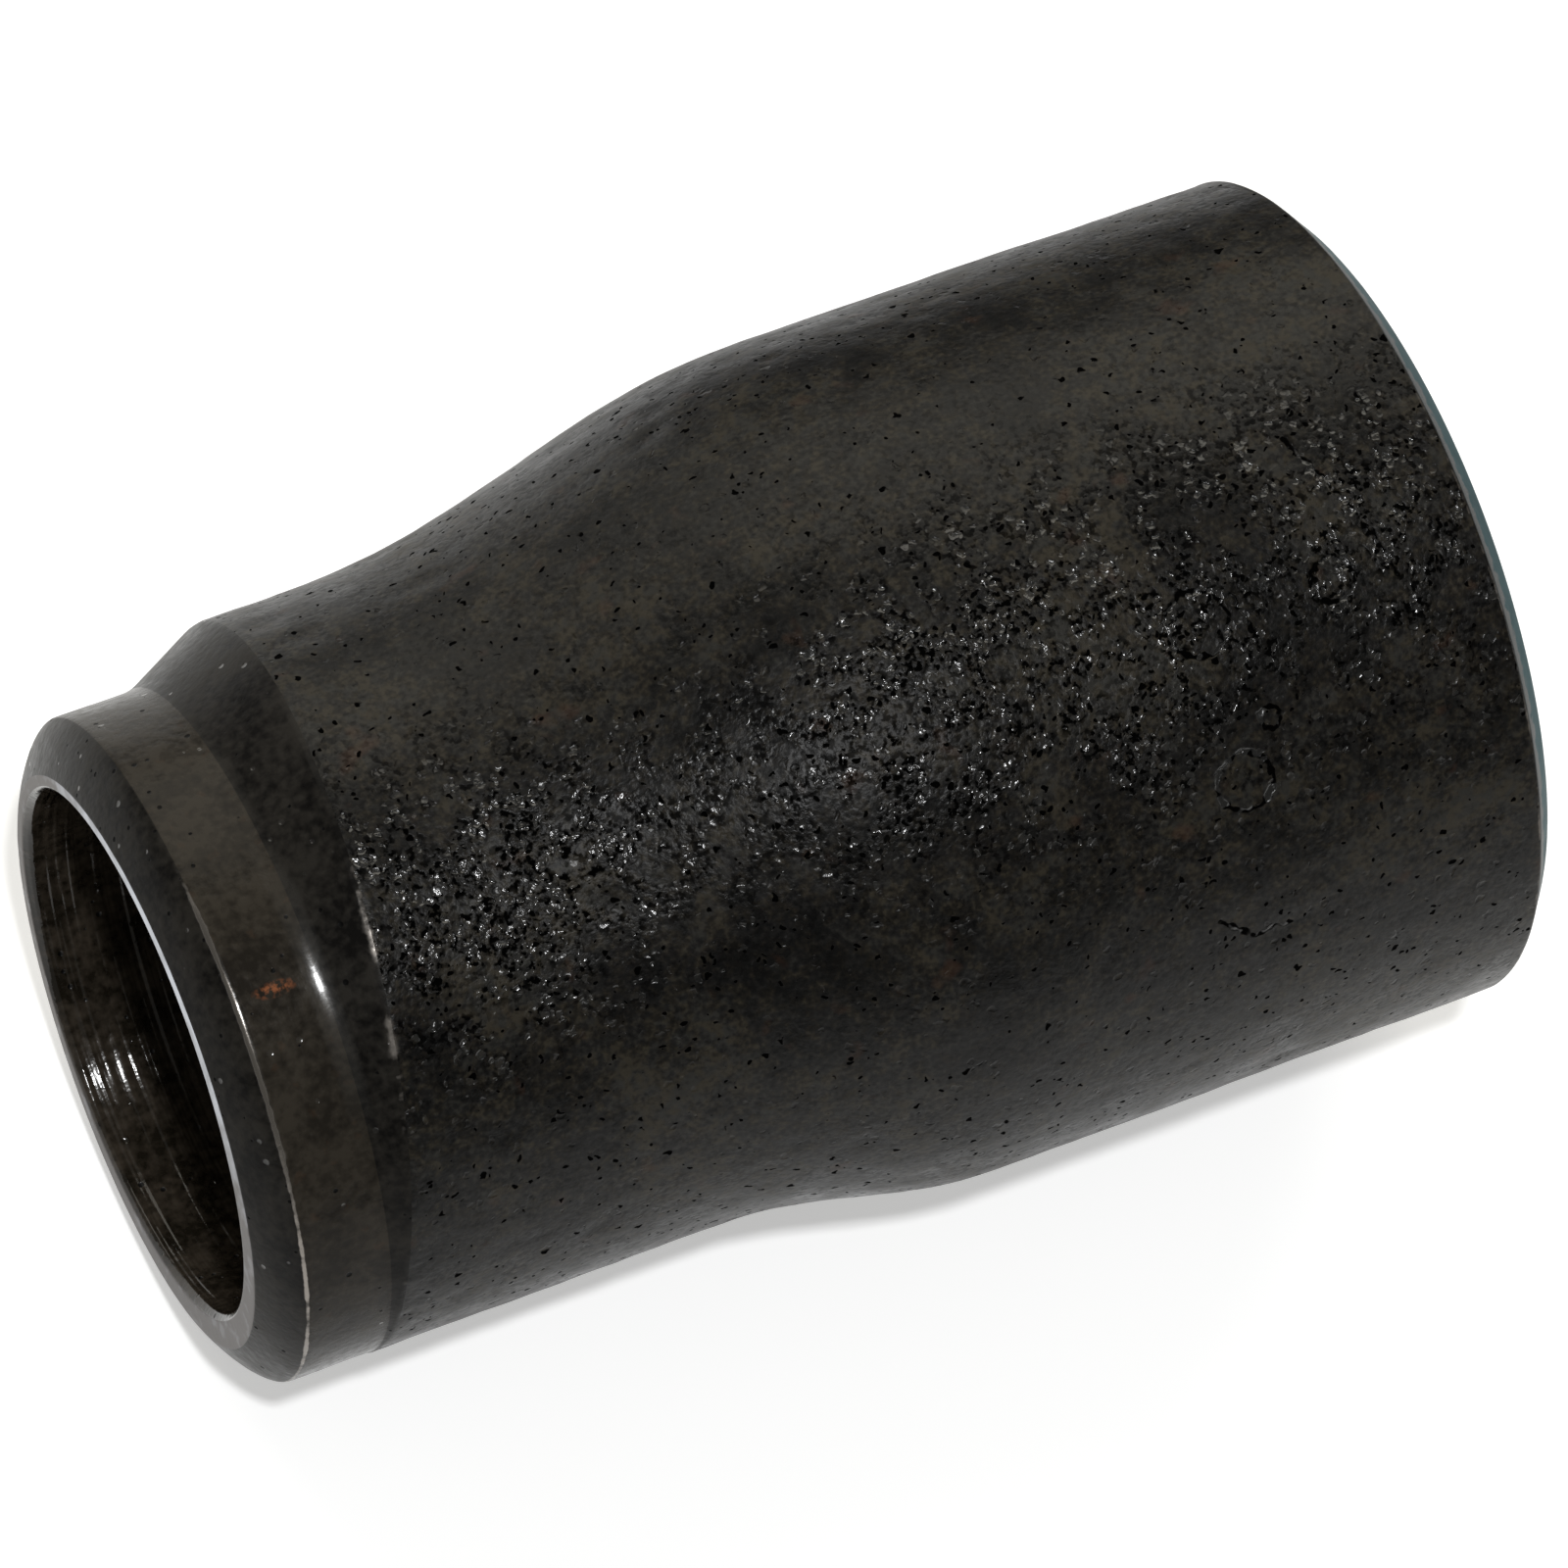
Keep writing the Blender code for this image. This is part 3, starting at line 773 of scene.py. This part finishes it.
class MESH_OT_reducer_body(bpy.types.Operator):
    """Makes the whole reducer as one closed surface and puts it in place of the solid"""

    bl_idname = "mesh.reducer_body"
    bl_label = "Reducer body"

    def execute(self, context):
        sizes, finish = context.scene.reducer_sizes, context.scene.reducer_finish
        rows, zones = reducer_grid(sizes)
        points = laid_down(rows)
        normals = grid_normals(points)
        points = points - normals * forging_relief(points, zones, finish)[..., None]
        materials = [
            scaled_forging(finish),
            turned_steel(finish, "turned_spigot", linear("1D1A16"), linear("2F2B25"),
                         ring_pitch=0.2 * MM, ring_depth=0.006, rust=0.15, film=1.18),
            # A darker copy of the turned steel with a weaker film: painted shade on the shoulder and the
            # small bevel
            turned_steel(finish, "turned_shoulder_painted_shade", linear("0D0C0B"), linear("23211E"),
                         ring_pitch=0.2 * MM, ring_depth=0.006, gloss=-0.1, film=1.16),
            turned_steel(finish, "bored_steel", linear("17140F"), linear("342E27"),
                         ring_pitch=0.33 * MM, ring_depth=0.12, gloss=0.12, film=1.36),
            ground_steel("ground_weld_land", linear("4E4A48"), finish.steel_colour),
            ground_steel("cut_large_bevel", linear("0A1113"), linear("2B3B3F"), CAD_LOW.x + VARNISH_RUN)]
        slots = {"skin": 0, "inner_skin": 0, "spigot": 1, "shoulder": 2, "bevel": 2, "chamfer": 3,
                 "land": 4, "large_land": 4, "large_bevel": 5, "small_bore": 3, "small_lead": 3,
                 "large_bore": 3, "large_lead": 3}
        mesh = grid_mesh("reducer_forging", points, np.array([slots[zone] for zone in zones]),
                         {"wear": edge_wear(zones, sizes.steps_round),
                          "burnish": burnish(zones, sizes.steps_round),
                          "pitting": pitting(points, normals, zones)})
        for material in materials:
            mesh.materials.append(material)
        body = bpy.data.objects.new("reducer_forging", mesh)
        context.scene.collection.objects.link(body)
        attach(body, "root")
        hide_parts(NODE)
        return {"FINISHED"}


def stage_sheet(name, corners, material):
    """A flat four-sided sheet of the stage."""
    mesh = bpy.data.meshes.new(name)
    mesh.from_pydata(corners, [], [(0, 1, 2, 3)])
    mesh.materials.append(material)
    sheet = bpy.data.objects.new(name, mesh)
    bpy.context.scene.collection.objects.link(sheet)
    return sheet


def floor_material():
    """Matt white board: it takes a soft shadow, and reads white to the eye and in reflections."""
    material, tree, shader = new_material("white_board")
    shader.inputs["Base Color"].default_value = linear("E6E6E6")
    shader.inputs["Roughness"].default_value = 0.9
    shader.inputs["Specular IOR Level"].default_value = 0.0
    shader.inputs["Emission Color"].default_value = (1.0, 1.0, 1.0, 1.0)
    rays = add(tree, "LightPath").node.outputs
    seen = add(tree, "Math", rays["Is Camera Ray"], rays["Is Glossy Ray"], operation="MAXIMUM")
    seen = add(tree, "Math", seen, rays["Is Transmission Ray"], operation="MAXIMUM")
    drive(tree, shader, {"Emission Strength": add(tree, "Math", seen, FLOOR_LIFT, operation="MULTIPLY")})
    return material


def card_material():
    """Grey card on a low board behind the part: it keeps the floor's glare off the far side."""
    material, _, shader = new_material("grey_card")
    shader.inputs["Base Color"].default_value = linear("808080")
    shader.inputs["Roughness"].default_value = 1.0
    shader.inputs["Specular IOR Level"].default_value = 0.0
    return material


def studio_world():
    """Dim, even, slightly warm surroundings. The floor and the lamps give what brightness there is."""
    world = bpy.data.worlds.new("studio")
    world.use_nodes = True
    background = world.node_tree.nodes["Background"]
    background.inputs["Strength"].default_value = 0.25
    background.inputs["Color"].default_value = (1.0, 0.99, 0.93, 1.0)
    return world


def area_light(name, azimuth, elevation, distance, width, height, power, colour):
    """A lamp that faces the middle of the part from an azimuth measured from +X towards +Y.

    Lengths are in metres and the power in watts.
    """
    middle = Vector((0.0, 0.0, AXIS_HEIGHT))
    away = Vector((math.cos(azimuth) * math.cos(elevation), math.sin(azimuth) * math.cos(elevation),
                   math.sin(elevation)))
    light = bpy.data.lights.new(name, "AREA")
    light.shape = "RECTANGLE"
    light.size = width
    light.size_y = height
    light.energy = power
    light.color = colour
    lamp = bpy.data.objects.new(name, light)
    lamp.location = middle + away * distance
    lamp.rotation_euler = away.to_track_quat("Z", "Y").to_euler()
    bpy.context.scene.collection.objects.link(lamp)


def fitted_camera():
    """The camera at the photograph's place, turned by its azimuth, elevation and roll."""
    away = Vector((math.cos(CAMERA_AZIMUTH) * math.cos(CAMERA_ELEVATION),
                   math.sin(CAMERA_AZIMUTH) * math.cos(CAMERA_ELEVATION), math.sin(CAMERA_ELEVATION)))
    right = Vector((0.0, 0.0, 1.0)).cross(away).normalized()
    turn = Matrix.Rotation(CAMERA_ROLL, 3, away)
    right = turn @ right
    up = away.cross(right)
    lens = bpy.data.cameras.new("photo_camera")
    lens.lens = CAMERA_LENS
    lens.sensor_width = CAMERA_SENSOR
    camera = bpy.data.objects.new("photo_camera", lens)
    camera.matrix_world = Matrix.Translation(CAMERA_PLACE) @ Matrix((right, up, away)).transposed().to_4x4()
    bpy.context.scene.collection.objects.link(camera)
    return camera


class SCENE_OT_reducer_stage(bpy.types.Operator):
    """Makes the floor, the lights, the world and the camera"""

    bl_idname = "scene.reducer_stage"
    bl_label = "Studio stage"

    def execute(self, context):
        scene = context.scene
        low, high = -FLOOR_REACH, FLOOR_REACH
        floor = stage_sheet("studio_floor", [(low, low, 0), (high, low, 0), (high, high, 0), (low, high, 0)],
                            floor_material())
        start, end = CARD_ENDS
        card = stage_sheet("grey_card", [
            (start, -CARD_DISTANCE, 0), (end, -CARD_DISTANCE, 0),
            (end, -CARD_DISTANCE, CARD_HEIGHT), (start, -CARD_DISTANCE, CARD_HEIGHT)], card_material())
        scene.world = studio_world()
        area_light("back_softbox", azimuth=math.radians(-110.0), elevation=math.radians(38.0),
                   distance=0.8, width=1.2, height=0.7, power=5.2, colour=(1.0, 0.96, 0.85))
        area_light("key_lamp", azimuth=math.radians(60.0), elevation=math.radians(72.0),
                   distance=0.9, width=0.04, height=0.04, power=4.5, colour=(0.98, 0.99, 1.0))
        scene.camera = fitted_camera()
        scene.view_settings.view_transform = "Standard"
        return {"FINISHED"}


class VIEW3D_PT_reducer(bpy.types.Panel):
    """Lists the reducer's sizes, its finish and what makes it"""

    bl_label = "Reducer"
    bl_idname = "VIEW3D_PT_reducer"
    bl_space_type = "VIEW_3D"
    bl_region_type = "UI"
    bl_category = "Reducer"

    def draw(self, context):
        for group in (context.scene.reducer_sizes, context.scene.reducer_finish):
            for name in group.bl_rna.properties.keys():
                if name not in ("rna_type", "name"):
                    self.layout.prop(group, name)
        self.layout.operator(MESH_OT_reducer_body.bl_idname)
        self.layout.operator(SCENE_OT_reducer_stage.bl_idname)


CLASSES = (ReducerSizes, ReducerFinish, MESH_OT_reducer_body, SCENE_OT_reducer_stage, VIEW3D_PT_reducer)


def register():
    for each in CLASSES:
        bpy.utils.register_class(each)
    bpy.types.Scene.reducer_sizes = PointerProperty(type=ReducerSizes)
    bpy.types.Scene.reducer_finish = PointerProperty(type=ReducerFinish)


def unregister():
    del bpy.types.Scene.reducer_finish
    del bpy.types.Scene.reducer_sizes
    for each in reversed(CLASSES):
        bpy.utils.unregister_class(each)


def main():
    register()
    bpy.ops.mesh.reducer_body()
    bpy.ops.scene.reducer_stage()


if __name__ == "__main__":
    main()
